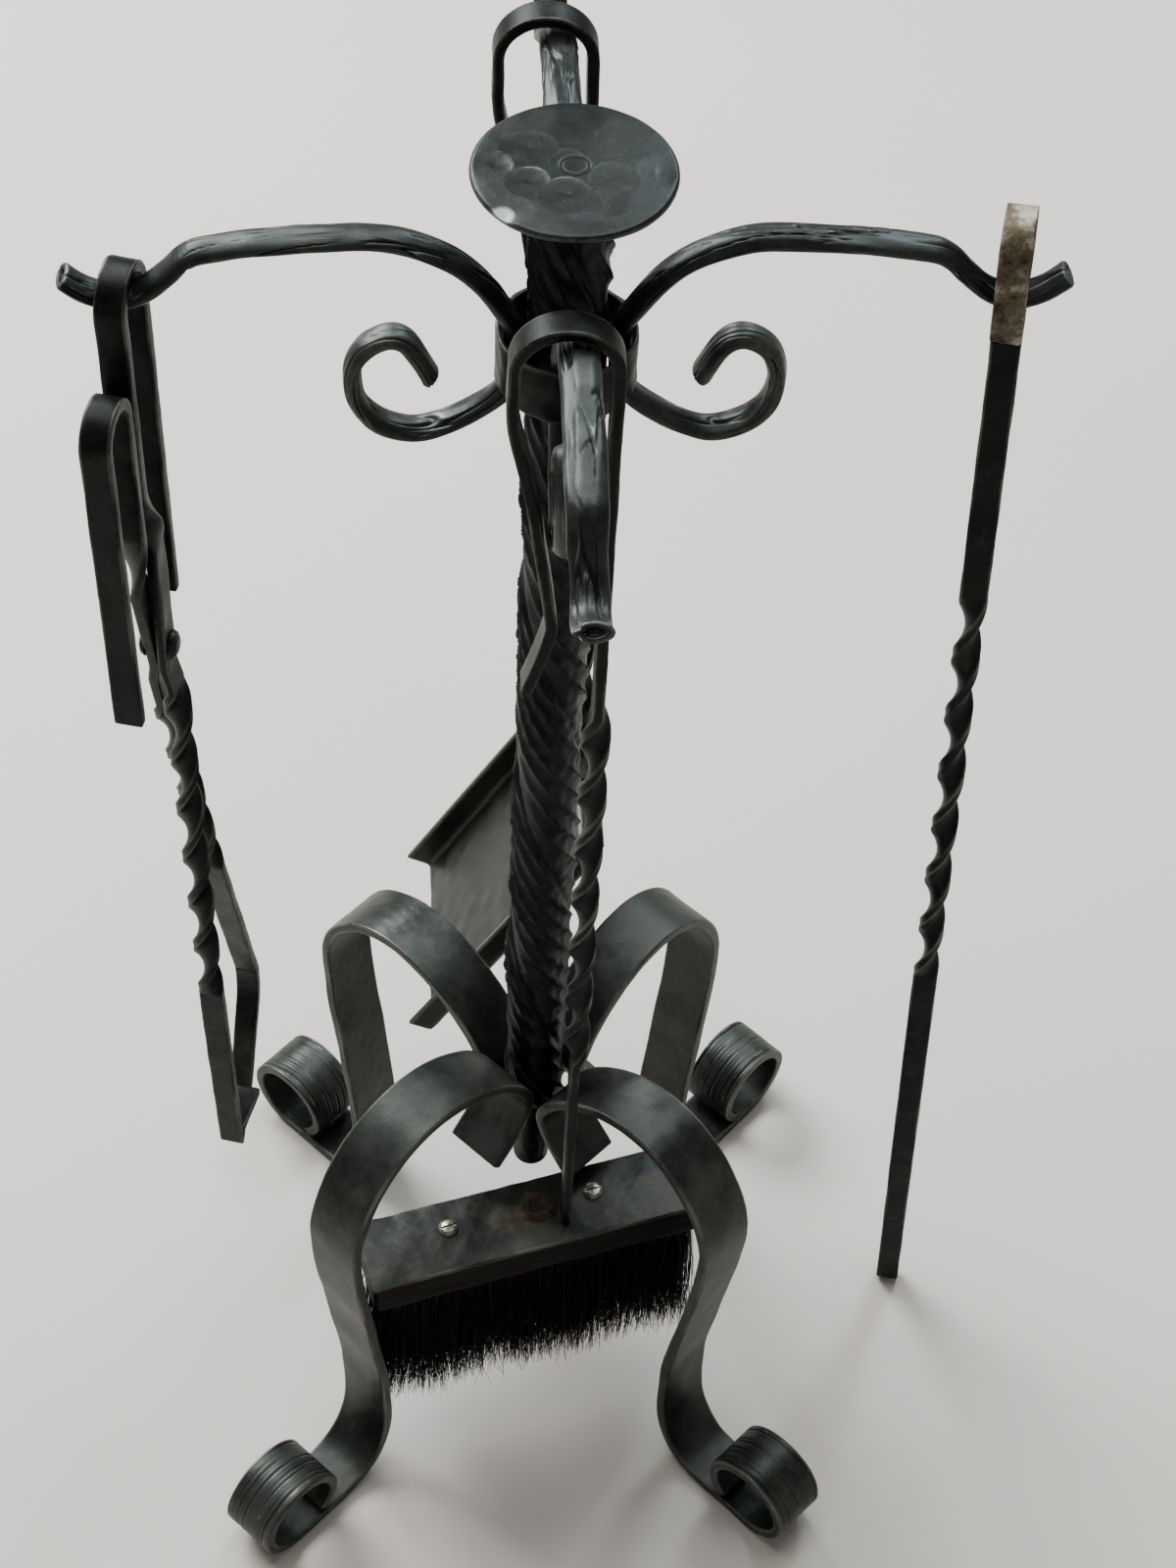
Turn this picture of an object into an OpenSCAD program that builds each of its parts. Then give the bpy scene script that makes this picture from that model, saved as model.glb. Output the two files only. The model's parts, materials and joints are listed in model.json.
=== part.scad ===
// Forged iron fireplace tool set: a stand with four arms and four coiled feet, with its tools. The
// brush, shovel and tongs hang on three of the arms, and the poker stands round the right one.
// Millimetres, +Z up. The origin is on the floor, on the axis of the post. The arms point along X and
// Y, and the legs stand between them.

/* [Post] */
// Radius of the twisted post
post_r = 13; // [12:0.1:13.1]
// Height of the shoulder that the disc sits on
post_top = 668; // [666:0.5:669]
// Height of the lower end of the thick part of the post
post_bottom = 178; // [172:1:184]
// Height of one full turn of the post's twist
post_pitch = 200; // [150:10:300]
// Radius of the stub below the post
stub_r = 7.5; // [6:0.1:9]
// Height of the lower end of the stub
stub_bottom = 126; // [115:1:140]
// Radius of the top disc
disc_r = 31; // [28:0.5:34]
// Thickness of the top disc
disc_t = 2.5; // [2:0.1:3]

/* [Arms] */
// Thickness of the arm bars, which are oval and bent the easy way
arm_t = 7.2; // [6.6:0.1:7.2]
// Width of the left and right arm's bar
arm_w = 12; // [11:0.1:12]
// Width of the front and back arm's bar
short_arm_w = 13.2; // [11:0.1:13.4]
// Wall of the collar round the arms
collar_wall = 1.7; // [1.4:0.1:3]
// Height of the collar
collar_h = 20; // [14:1:20]

/* [Legs] */
// Width of the leg strap
leg_w = 26; // [22:0.5:26]
// Thickness of the leg strap
leg_t = 5; // [4:0.1:5.5]
// Directions of the four legs, front left, front right, back left and back right
leg_az = [225, 313, 135, 45];
// How far out each leg's shoulder stands, as a share of the widest leg's
leg_shoulder = [0.985, 0.91, 0.945, 0.86];
// How far out each leg's coil stands, as a share of the widest leg's
leg_foot = [1, 0.955, 0.925, 0.96];
// How high each leg's arch is, as a share of the highest one
leg_arch = [1, 0.94, 0.92, 0.945];

/* [Tools] */
// Width of the tool strap
strap_w = 10; // [9:0.1:10.5]
// Thickness of the tool strap
strap_t = 4; // [3.5:0.1:4.2]
// Half the width of the brush's and the shovel's eye, to the middle of the strap
eye_r = 15.4; // [14:0.1:17]
// Half the width of the tongs' and the poker's eye, to the middle of the strap
small_eye_r = 10; // [9.8:0.1:11]
// Height of one half turn of a tool's twist
half_turn = 30; // [24:1:40]

/* [Brush] */
// Length of the brush head
brush_l = 148; // [120:1:150]
// Width of the brush head
brush_w = 33; // [28:0.5:34]
// Turn of the brush head about the vertical
brush_turn = 15; // [10:0.5:16]

/* [Shovel] */
// Width of the shovel's pan
pan_w = 94; // [80:1:96]
// Length of the shovel's pan
pan_l = 150; // [120:1:155]
// Height of the pan's rims
pan_rim = 13; // [8:0.5:16]
// Thickness of the pan's sheet
pan_t = 1.6; // [1.2:0.1:2]

/* [Hidden] */

fit = 0.3;          // gap between pieces that only lie side by side
tenon_r = 4;        // tenon on top of the post, through the disc
tenon_gap = 0.05;   // running fit of the tenon and of the rivet
disc_rise = 5.5;    // height of the disc's top above its seat on the post
disc_dome = 1.5;    // how much lower the disc's edge is than its middle
collar_z = 600;     // middle of the collar
neck_h = 36;        // height of the post's plain neck, behind the arms
joint_r = 16.9;     // distance from the post axis to an arm's middle line, at the collar
curve_steps = 3;    // spline points between two named points of a bar's route

// Where each tool hangs: the distance from the post along its arm
brush_hang = 46;
shovel_hang = 102;
dip_hang = 136;

arm_bend_r = 28;      // beyond this distance from the post, the shorter arms are drawn in
short_reach = 0.94;   // reach of the front and back arms, as a share of the side arms'
arm_lift = 0.7;       // added to the heights of arm_route
leg_in = 15.8;        // distance from the post axis to the strap where a leg meets the post

// The route of an arm bar as [distance from the post axis, height], from its tip to its scroll's end
arm_route = [
    [153, 631], [147, 625.6], [141, 622.8], [135, 622.4], [128, 625.6], [121, 632], [115, 638.2],
    [107, 641.2], [82, 644.4], [62, 645.4], [50, 643.6], [38, 638], [28, 629], [20.6, 618],
    [joint_r, 609], [joint_r, 591], [20.2, 583], [28, 575.4], [38, 569], [48, 566.2], [58.5, 570],
    [65.4, 579], [66.8, 591], [63, 601], [55, 605.6], [48.6, 602], [42.5, 589]
];

// The route of the widest leg's strap in the same way, from its free tab to the floor
leg_route = [
    [36, 169], [22, 182], [leg_in, 196], [20, 209], [29, 221.5], [41, 232], [54, 239.4], [67, 243],
    [80, 243], [92, 238.4], [103, 230], [112, 217.6], [117.4, 203], [118.4, 187], [116, 156],
    [112, 128], [108.5, 100], [105.3, 76], [103.8, 54], [103.5, 36], [105.5, 22], [110.5, 11.5],
    [119, 4.8], [131, 2.5]
];
// The coil at a foot: its centre, its radii to the middle of the strap and the turn it makes
coil_r = 156;
coil_start = 20;
coil_end = 18.5;
coil_turn = 320;

// ---- helpers ----

function unit(v) = v / norm(v);
function along(p, i) = unit(p[min(i + 1, len(p) - 1)] - p[max(i - 1, 0)]);
function side(p, i) = let (d = along(p, i)) [-d[1], d[0]];

// One point of a Catmull-Rom curve from b to c, with a and d as the neighbours
function curve_point(a, b, c, d, t) =
    0.5 * (2 * b + (c - a) * t + (2 * a - 5 * b + 4 * c - d) * t * t
    + (3 * b - 3 * c + d - a) * t * t * t);

// A smooth curve through the points p
function smooth(p, steps = curve_steps) = let (n = len(p) - 1) concat(
    [for (i = [0 : n - 1]) for (k = [0 : steps - 1])
        curve_point(p[max(i - 1, 0)], p[i], p[i + 1], p[min(i + 2, n)], k / steps)],
    [p[n]]
);

function arc(centre, r, from, to, steps) =
    [for (k = [0 : steps]) let (a = from + (to - from) * k / steps) centre + r * [cos(a), sin(a)]];

// A flat strap bent along a route in the XZ plane, with its width along Y
module strap(route, thick, wide) {
    n = len(route) - 1;
    rotate([90, 0, 0]) linear_extrude(wide, center = true) polygon(concat(
        [for (i = [0 : n]) route[i] + side(route, i) * thick / 2],
        [for (i = [n : -1 : 0]) route[i] - side(route, i) * thick / 2]
    ));
}

// Joins rings of points, one above the other, into a closed solid
module skin(rings) {
    m = len(rings[0]);
    n = len(rings);
    polyhedron(
        points = [for (r = rings) for (p = r) p],
        faces = concat(
            [[for (k = [0 : m - 1]) k]],
            [[for (k = [m - 1 : -1 : 0]) (n - 1) * m + k]],
            [for (i = [0 : n - 2]) for (k = [0 : m - 1]) let (j = (k + 1) % m)
                [i * m + k, (i + 1) * m + k, (i + 1) * m + j]],
            [for (i = [0 : n - 2]) for (k = [0 : m - 1]) let (j = (k + 1) % m)
                [i * m + k, (i + 1) * m + j, i * m + j]]
        )
    );
}

// A bar with an oval section, bent the easy way along a route in the XZ plane
module oval_bar(route, thick, wide, sides = 8) {
    skin([for (i = [0 : len(route) - 1]) let (s = side(route, i) * thick / 2)
        [for (k = [0 : sides - 1]) let (a = 360 * k / sides)
            [route[i][0] + cos(a) * s[0], sin(a) * wide / 2, route[i][1] + cos(a) * s[1]]]]);
}

// A flat bar through stations [x, y, z, turn], from the top down, with level rings
module ribbon(stations, wide = strap_w, thick = strap_t) {
    skin([for (s = stations)
        [for (c = [[1, 1], [1, -1], [-1, -1], [-1, 1]]) let (x = c[0] * thick / 2, y = c[1] * wide / 2)
            [s[0] + x * cos(s[3]) - y * sin(s[3]), s[1] + x * sin(s[3]) + y * cos(s[3]), s[2]]]]);
}

// Stations of a twisted stretch from a to b, points [x, y, z], turning by a whole angle
function twist(a, b, from, to, steps = 48) =
    [for (k = [0 : steps]) let (p = a + (b - a) * k / steps) [p[0], p[1], p[2], from + (to - from) * k / steps]];

// An upside-down U of flat bar with its middle line's top at the origin: the free leg is on the -X side
module eye(r, free, stem) {
    strap(concat([[-r, -free]], arc([0, -r], r, 180, 0, 20), [[r, -stem]]), strap_t, strap_w);
}

// The same, with a free leg that comes in to the straight one and turns out again at its end
module teardrop_eye(r, stem) {
    strap(concat(
        smooth([[-9, -158], [-2.2, -131], [-2.6, -117], [-9.4, -68], [-15.2, -38], [-r, -r - 6]], 4),
        arc([0, -r], r, 180, 0, 20),
        [[r, -stem]]
    ), strap_t, strap_w);
}

// ---- stand ----

module centre_post() {
    neck = [collar_z - neck_h / 2, collar_z + neck_h / 2];
    color([0.16, 0.16, 0.17]) {
        twisted_post(post_bottom, neck[0]);
        translate([0, 0, neck[0]]) cylinder(h = neck_h, r = joint_r - arm_t / 2 - 2 * fit, $fn = 64);
        twisted_post(neck[1], post_top);
        translate([0, 0, stub_bottom]) rotate_extrude($fn = 48) polygon(concat(
            [[0, post_bottom - stub_bottom], [0, 0]],
            arc([stub_r - 3, 3], 3, 270, 360, 6),
            [[stub_r, post_bottom - stub_bottom]]
        ));
        translate([0, 0, post_top]) cylinder(h = disc_rise + 0.6, r = tenon_r, $fn = 48);
    }
}

// A stretch of the post between two heights, with its two seams winding round it
module twisted_post(from, to) {
    seam = 0.9;
    tall = to - from;
    translate([0, 0, from]) rotate([0, 0, -360 * (from - post_bottom) / post_pitch])
        linear_extrude(tall, twist = 360 * tall / post_pitch, slices = ceil(tall / 8))
            polygon([for (a = [0 : 15 : 345]) (post_r - (a % 180 == 0 ? seam : 0)) * [cos(a), sin(a)]]);
}

module top_disc() {
    rise = disc_rise - disc_t;
    color([0.22, 0.24, 0.25]) translate([0, 0, post_top]) rotate_extrude($fn = 96) polygon([
        [tenon_r + tenon_gap, 0], [post_r, 0], [disc_r - 1, rise - disc_dome], [disc_r, rise],
        [disc_r - 0.6, rise - disc_dome + disc_t], [post_r, rise + disc_t],
        [tenon_r + tenon_gap, rise + disc_t]
    ]);
}

module arm_collar() {
    inner = joint_r + arm_t / 2 + fit;
    color([0.18, 0.18, 0.19]) translate([0, 0, collar_z - collar_h / 2]) difference() {
        cylinder(h = collar_h, r = inner + collar_wall, $fn = 96);
        translate([0, 0, -1]) cylinder(h = collar_h + 2, r = inner, $fn = 96);
    }
}

module arm(turn, wide, reach = 1) {
    route = [for (p = smooth(arm_route)) [p[0] + (reach - 1) * max(0, p[0] - arm_bend_r), p[1] + arm_lift]];
    color([0.26, 0.28, 0.28]) rotate([0, 0, turn]) oval_bar(route, arm_t, wide);
}

module arm_left() { arm(180, arm_w); }
module arm_right() { arm(0, arm_w); }
module arm_front() { arm(270, short_arm_w, short_reach); }
module arm_back() { arm(90, short_arm_w, short_reach); }

// The rolled end of a leg, round its middle at the distance r from the post axis
function coil(r, steps = 36) = [for (k = [1 : steps]) let (
        a = -90 + coil_turn * k / steps,
        coil_now = coil_start + (coil_end - coil_start) * k / steps
    ) [r + coil_now * cos(a), leg_t / 2 + coil_start + coil_now * sin(a)]];

// A point of leg number i, from the same point of the widest leg: the foot's share holds at the floor,
// and the shoulder's and the arch's shares hold from these heights up
shoulder_z = 70;
arch_z = 150;
function on_leg(i, p) = let (
        up = min(1, p[1] / shoulder_z),
        out = leg_foot[i] + (leg_shoulder[i] - leg_foot[i]) * up,
        high = 1 + (leg_arch[i] - 1) * min(1, p[1] / arch_z)
    ) [leg_in + (p[0] - leg_in) * out, p[1] * high];

module leg(i) {
    foot = on_leg(i, [coil_r, 0])[0];
    route = [for (p = smooth(leg_route, 3)) on_leg(i, p)];
    color([0.24, 0.27, 0.29]) rotate([0, 0, leg_az[i]])
        strap(concat(route, [[foot, leg_t / 2]], coil(foot)), leg_t, leg_w);
}

module leg_front_left() { leg(0); }
module leg_front_right() { leg(1); }
module leg_back_left() { leg(2); }
module leg_back_right() { leg(3); }

// ---- brush, on the front arm ----

brush_eye = [-3, -brush_hang, 652.4];   // top of the eye's middle line
brush_top = 150;                         // top of the plate
brush_centre = [-1.5, -45.2];            // middle of the head
plate_t = 2.2;
block_h = 19;
bristle_h = 83;
screw_gap = 64;
screw_middle = -4;                       // place between the screws, from the middle of the head

module brush_handle() {
    turns = 7;
    top = -172;
    low = top - turns * half_turn;
    end = brush_top - brush_eye[2];
    color([0.15, 0.15, 0.16]) translate(brush_eye) {
        teardrop_eye(eye_r, -top);
        ribbon(twist([eye_r, 0, top], [eye_r, 0, low], 0, -180 * turns));
        ribbon([[eye_r, 0, low, 0], [eye_r, 0, end, 0]]);
    }
}

// Moves the brush head's own pieces to their place under the handle
module at_brush_head(z) {
    translate([brush_centre[0], brush_centre[1], z]) rotate([0, 0, brush_turn]) children();
}

module brush_weld() {
    mound_r = 9.4;
    shaft_side = brush_eye[0] + eye_r - strap_t / 2;
    color([0.33, 0.22, 0.15]) translate([shaft_side - mound_r, -brush_hang + 4, brush_top])
        rotate_extrude($fn = 48) polygon([[0, 0], [mound_r, 0], [8.4, 1.5], [5.4, 2.9], [0, 3.5]]);
}

module brush_plate() {
    color([0.25, 0.25, 0.25]) difference() {
        at_brush_head(brush_top - plate_t)
            translate([0, 0, plate_t / 2]) cube([brush_l, brush_w, plate_t], center = true);
        brush_screw_places() translate([0, 0, -plate_t - 1]) cylinder(h = plate_t + 2, r = 2.3, $fn = 32);
    }
}

module brush_block() {
    color([0.14, 0.10, 0.08]) difference() {
        at_brush_head(brush_top - plate_t - block_h)
            translate([0, 0, block_h / 2]) cube([brush_l - 2, brush_w - 1.5, block_h], center = true);
        brush_screw_places() translate([0, 0, -plate_t - 14]) cylinder(h = 16, r = 2.3, $fn = 32);
    }
}

module brush_screw_places() {
    for (x = [-1, 1]) at_brush_head(brush_top) translate([screw_middle + x * screw_gap / 2, 3, 0])
        children();
}

module brush_screws() {
    color([0.55, 0.52, 0.45]) brush_screw_places() {
        translate([0, 0, -plate_t - 13]) cylinder(h = plate_t + 13, r = 2.2, $fn = 32);
        difference() {
            rotate_extrude($fn = 48) polygon([[0, 0], [4.4, 0], [4, 1.2], [2.8, 2.2], [0, 2.7]]);
            translate([0, 0, 2.6]) cube([10, 0.9, 1.8], center = true);
        }
    }
}

module brush_bristles() {
    color([0.06, 0.06, 0.06]) at_brush_head(brush_top - plate_t - block_h - bristle_h)
        translate([0, 0, bristle_h / 2]) cube([brush_l - 9, brush_w - 8, bristle_h], center = true);
}

// ---- shovel, on the back arm ----

shovel_eye = [-4, shovel_hang, 650.7];     // top of the eye's middle line
shovel_lean = -1.4;
pan_tilt = 30;
pan_corner = [25, -381];                 // top edge of the pan's floor, from the eye

module at_shovel() { translate(shovel_eye) rotate([0, shovel_lean, 0]) children(); }

// Stands the pan's own frame at its place: +X runs down the pan, +Z is the side it holds ash on
module at_pan() {
    at_shovel() translate([pan_corner[0], 0, pan_corner[1]]) rotate([0, 90 + pan_tilt, 0])
        mirror([0, 0, 1]) children();
}

module shovel_handle() {
    turns = 6;
    top = -172;
    low = top - turns * half_turn;
    color([0.15, 0.15, 0.16]) at_shovel() {
        teardrop_eye(eye_r, -top);
        ribbon(twist([eye_r, 0, top], [eye_r, 0, low], 0, -180 * turns));
        ribbon([[eye_r, 0, low, 0], [eye_r, 0, -372.4, 0]]);
    }
}

module shovel_pan() {
    color([0.27, 0.28, 0.28]) at_pan() {
        translate([0, -pan_w / 2, 0]) cube([pan_l, pan_w, pan_t]);
        for (s = [-1, 1]) translate([0, s * (pan_w - pan_t) / 2 - pan_t / 2, 0])
            cube([pan_l, pan_t, pan_rim]);
        translate([0, -pan_w / 2, 0]) cube([pan_t, pan_w, pan_rim]);
    }
}

// ---- poker, beside the right arm: it stands on the floor, and the arm passes through its eye ----

poker_turn = 76;
poker_lean = [-0.6, -3.1, 0];            // its foot stands out from the post and to the front
poker_eye = [135, 0.3, 653];             // top of the eye's middle line

module poker() {
    free = 41;
    stem = 177;
    turns = 7;
    low = stem + turns * 32.4;
    fold = strap_t / 2 + 0.2;
    prong = 239;
    spread = 5;
    tip = (poker_eye[2] - 0.5) / cos(poker_lean[1]) - strap_t / 2;
    color([0.17, 0.17, 0.18]) translate(poker_eye) rotate(poker_lean) rotate([0, 0, poker_turn]) {
        eye(small_eye_r, free, stem);
        ribbon(twist([small_eye_r, 0, -stem], [small_eye_r, 0, -low], 0, -180 * turns));
        strap(concat(
            [[small_eye_r, -low]],
            arc([small_eye_r + fold, -tip + fold], fold, 180, 360, 12),
            [[small_eye_r + 2 * fold, -tip + 60], [small_eye_r + 2 * fold + spread, -tip + prong]]
        ), strap_t, strap_w);
    }
}

// ---- tongs, on the left arm ----

tongs_turn = 76;
tongs_eye = [-dip_hang, 0, 632.9];
rivet_z = -168;              // height of the rivet, from the top of the eye's middle line
rivet_r = 3;
plate_gap = 0.15;
half_y = plate_gap + strap_t / 2;   // how far each half lies to its own side, at the rivet
twist_y = 4;                        // and the same where the halves are twisted
part_z = rivet_z - 8;               // the halves begin to part here
parted_z = rivet_z - 22;            // and the twists begin below this
shank_lean = 12.5;

module at_tongs() { translate(tongs_eye) rotate([0, 0, tongs_turn]) children(); }

// How far a half lies to its own side at a height
function side_y(z) = let (t = max(0, min(1, (part_z - z) / (part_z - parted_z))))
    half_y + (twist_y - half_y) * t * t * (3 - 2 * t);

module tongs_half_a() {
    a_low = -382;
    color([0.16, 0.16, 0.17]) at_tongs() difference() {
        union() {
            mirror([1, 0, 0]) eye(small_eye_r, 150, 84);
            ribbon([for (k = [0 : 12]) let (t = k / 12, u = t * t * (3 - 2 * t))
                [-small_eye_r * (1 - u), -half_y * u, -84 - 34 * t, 90 * t]]);
            ribbon([[0, -half_y, -118, 90], for (z = [part_z : -2 : parted_z]) [0, -side_y(z), z, 90]]);
            ribbon(twist([0, -twist_y, parted_z], [3, -twist_y, a_low], 90, 90 - 90 * 13));
            strap_at(-twist_y, [[3, a_low], [8.3, -495], [11.8, -498.5], [36, -505]]);
        }
        rivet_hole(0.02);
    }
}

// A strap on the tongs, moved along Y to the side that its half is on
module strap_at(y, route) { translate([0, y, 0]) strap(route, strap_t, strap_w); }

module rivet_hole(gap) {
    translate([0, 0, rivet_z]) rotate([90, 0, 0]) cylinder(h = 30, r = rivet_r + gap, center = true, $fn = 48);
}

module tongs_half_b() {
    k = tan(shank_lean);
    function on_shank(z) = [(rivet_z - z) * k, side_y(z), z];
    bend = -100;
    low = -346;
    color([0.15, 0.15, 0.16]) at_tongs() difference() {
        union() {
            translate([on_shank(bend)[0] - small_eye_r, 0, -34]) eye(small_eye_r, 136, -bend - 34);
            ribbon([for (i = [0 : 10]) let (t = i / 10, p = on_shank(bend - 32 * t))
                [p[0], half_y * t, p[2], -90 * t]]);
            ribbon([for (z = [bend - 32, for (down = [part_z : -2 : parted_z]) down, rivet_z - 40])
                let (p = on_shank(z)) [p[0], p[1], z, -90]]);
            ribbon(twist(on_shank(rivet_z - 40), on_shank(low), -90, -90 - 90 * 9, 40));
            strap_at(twist_y, [[on_shank(low)[0], low], [66.6, -449],
                [69.4, -460], [69.8, -471], [67, -483], [50, -518], [47, -522], [43, -524]]);
        }
        rivet_hole(tenon_gap);
    }
}

module tongs_rivet() {
    grip = 2 * (strap_t + plate_gap) + 0.4;
    color([0.3, 0.3, 0.3]) at_tongs() translate([0, 0, rivet_z]) rotate([90, 0, 0]) {
        cylinder(h = grip, r = rivet_r, center = true, $fn = 48);
        for (s = [0, 1]) mirror([0, 0, s]) translate([0, 0, grip / 2]) rotate_extrude($fn = 48)
            polygon([[0, 0], [5.4, 0], [4.8, 1.3], [3, 2.3], [0, 2.7]]);
    }
}

centre_post();
top_disc();
arm_collar();
arm_left();
arm_right();
arm_front();
arm_back();
leg_front_left();
leg_front_right();
leg_back_left();
leg_back_right();
brush_handle();
brush_weld();
brush_plate();
brush_block();
brush_screws();
brush_bristles();
shovel_handle();
shovel_pan();
poker();
tongs_half_a();
tongs_half_b();
tongs_rivet();
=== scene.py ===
"""Looks of the forged iron fireplace tool set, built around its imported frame.

Routes and sizes are in millimetres, as in the part's source, and MM turns them into metres. Each bar,
strap and sheet is a row of outlines swept along a route, with its forging marks worked into the mesh.
"""
import json
import math

import bmesh
import bpy
import numpy as np
from mathutils import Matrix, Vector


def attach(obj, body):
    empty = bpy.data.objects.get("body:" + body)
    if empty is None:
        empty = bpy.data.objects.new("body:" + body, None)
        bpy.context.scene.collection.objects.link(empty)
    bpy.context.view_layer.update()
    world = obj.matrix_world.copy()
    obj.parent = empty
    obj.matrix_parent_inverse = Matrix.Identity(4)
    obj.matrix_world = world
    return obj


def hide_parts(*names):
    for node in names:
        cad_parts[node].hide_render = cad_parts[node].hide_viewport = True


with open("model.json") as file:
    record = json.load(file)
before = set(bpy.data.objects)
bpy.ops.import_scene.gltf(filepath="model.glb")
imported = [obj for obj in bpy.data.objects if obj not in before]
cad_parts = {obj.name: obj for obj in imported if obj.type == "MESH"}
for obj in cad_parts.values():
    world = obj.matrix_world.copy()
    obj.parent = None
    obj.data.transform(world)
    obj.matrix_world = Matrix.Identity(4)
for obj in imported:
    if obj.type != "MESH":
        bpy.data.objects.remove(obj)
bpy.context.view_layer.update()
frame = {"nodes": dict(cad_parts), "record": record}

MM = 0.001
RECORD = frame["record"]
BODY_OF = {node: body for body, nodes in RECORD["behaviour"]["bodies"].items() for node in nodes}

# ---------------------------------------------------------------- sizes shared with the CAD part, in mm

# The post, its thin stub below and the disc on its top
POST_R = 13
POST_TOP = 668
POST_BOTTOM = 178
STUB_R = 7.5
STUB_BOTTOM = 126
DISC_R = 31
DISC_T = 2.5
DISC_RISE = 5.5

# The arms: their bars, how far their joint is from the post's axis, and the collar and neck round it
ARM_T = 7.2
ARM_W = 12
SHORT_ARM_W = 13.2
ARM_LIFT = 0.7
JOINT_R = 16.9
ARM_BEND_R = 28
SHORT_REACH = 0.94
COLLAR_Z = 600
COLLAR_H = 20
COLLAR_WALL = 1.7
NECK_H = 36
FIT = 0.3

# The legs' flat bar, and how far its inner bend is from the post's axis
LEG_W = 26
LEG_T = 5
LEG_IN = 15.8

# The tools' straps and eyes
STRAP_W = 10
STRAP_T = 4
EYE_R = 15.4
SMALL_EYE_R = 10

# The brush head, the height of its top and its middle
BRUSH_L = 148
BRUSH_W = 33
BRUSH_TURN = 15
BRUSH_TOP = 150
BRUSH_CENTRE = (-1.5, -45.2)
PLATE_T = 2.2
BLOCK_H = 19
BRISTLE_H = 83

# The shovel's pan
PAN_W = 94
PAN_L = 150
PAN_RIM = 13
PAN_T = 1.6

# The route of an arm bar as (distance from the post axis, height), from its tip to its scroll's end
ARM_ROUTE = [
    (153, 631), (147, 625.6), (141, 622.8), (135, 622.4), (128, 625.6), (121, 632), (115, 638.2),
    (107, 641.2), (82, 644.4), (62, 645.4), (50, 643.6), (38, 638), (28, 629), (20.6, 618),
    (JOINT_R, 609), (JOINT_R, 591), (20.2, 583), (28, 575.4), (38, 569), (48, 566.2), (58.5, 570),
    (65.4, 579), (66.8, 591), (63, 601), (55, 605.6), (48.6, 602), (42.5, 589),
]
# Each arm's direction, its reach and the width of its bar
ARMS = {
    "left": (180, 1, ARM_W),
    "right": (0, 1, ARM_W),
    "front": (270, SHORT_REACH, SHORT_ARM_W),
    "back": (90, SHORT_REACH, SHORT_ARM_W),
}

# The route of the widest leg's strap in the same way, from its free tab to the floor
LEG_ROUTE = [
    (36, 169), (22, 182), (LEG_IN, 196), (20, 209), (29, 221.5), (41, 232), (54, 239.4), (67, 243),
    (80, 243), (92, 238.4), (103, 230), (112, 217.6), (117.4, 203), (118.4, 187), (116, 156),
    (112, 128), (108.5, 100), (105.3, 76), (103.8, 54), (103.5, 36), (105.5, 22), (110.5, 11.5),
    (119, 4.8), (131, 2.5),
]
COIL_R = 156
COIL_RADII = (20, 18.5)
COIL_TURN = 320
# Each leg's direction, and its shoulder, foot and arch as shares of the widest leg's
LEGS = {
    "front_left": (225, 0.985, 1, 1),
    "front_right": (313, 0.91, 0.955, 0.94),
    "back_left": (135, 0.945, 0.925, 0.92),
    "back_right": (45, 0.86, 0.96, 0.945),
}
SHOULDER_Z = 70
ARCH_Z = 150

# Where each tool hangs: the top of its eye's middle line
BRUSH_EYE = (-3, -46, 652.4)
SHOVEL_EYE = (-4, 102, 650.7)
POKER_EYE = (135, 0.3, 653)
TONGS_EYE = (-136, 0, 632.9)
RIVET_Z = -168


# ---------------------------------------------------------------- routes

def smooth(points, steps):
    """A Catmull-Rom curve through the points, in steps pieces between each two."""
    p = np.array(points, float)
    p = np.vstack([p[:1], p, p[-1:]])
    curve = []
    for a, b, c, d in zip(p, p[1:], p[2:], p[3:]):
        for t in np.arange(steps) / steps:
            bend = (2 * a - 5 * b + 4 * c - d) * t**2 + (3 * b - 3 * c + d - a) * t**3
            curve.append(0.5 * (2 * b + (c - a) * t + bend))
    return np.array(curve + [p[-1]])


def arc(centre, radius, start, end, steps=24):
    """Points of an arc in the route's plane, between two angles in degrees."""
    a = np.radians(np.linspace(start, end, steps + 1))
    return np.array(centre) + radius * np.stack([np.cos(a), np.sin(a)], -1)


def coil(foot, steps=60):
    """The rolled end of a leg, round its middle at the distance foot from the post axis."""
    a = np.radians(np.linspace(-90, COIL_TURN - 90, steps + 1))
    r = np.linspace(*COIL_RADII, steps + 1)
    return np.stack([foot + r * np.cos(a), LEG_T / 2 + COIL_RADII[0] + r * np.sin(a)], -1)


def ease(t):
    """A smooth step from 0 to 1."""
    t = np.clip(t, 0, 1)
    return t * t * (3 - 2 * t)


def full_turn(count):
    """Angles all the way round, in radians."""
    return np.linspace(0, 2 * math.pi, count, endpoint=False)


def lathed(r, theta, z):
    """Rings of points round the upright axis."""
    return np.stack(np.broadcast_arrays(r * np.cos(theta), r * np.sin(theta), z), -1)


def carry(points, matrix):
    """Points under a 4 by 4 matrix whose shift is in mm."""
    m = np.array(matrix)
    return points @ m[:3, :3].T + m[:3, 3]


# ---------------------------------------------------------------- bars: a route with its directions

# How far ahead and behind, in mm, a bar's direction is taken, and the extra stations in its worn ends, as
# shares of those ends' length
AHEAD = 0.7
END_SHARES = (0, 0.12, 0.35, 0.65)


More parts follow.
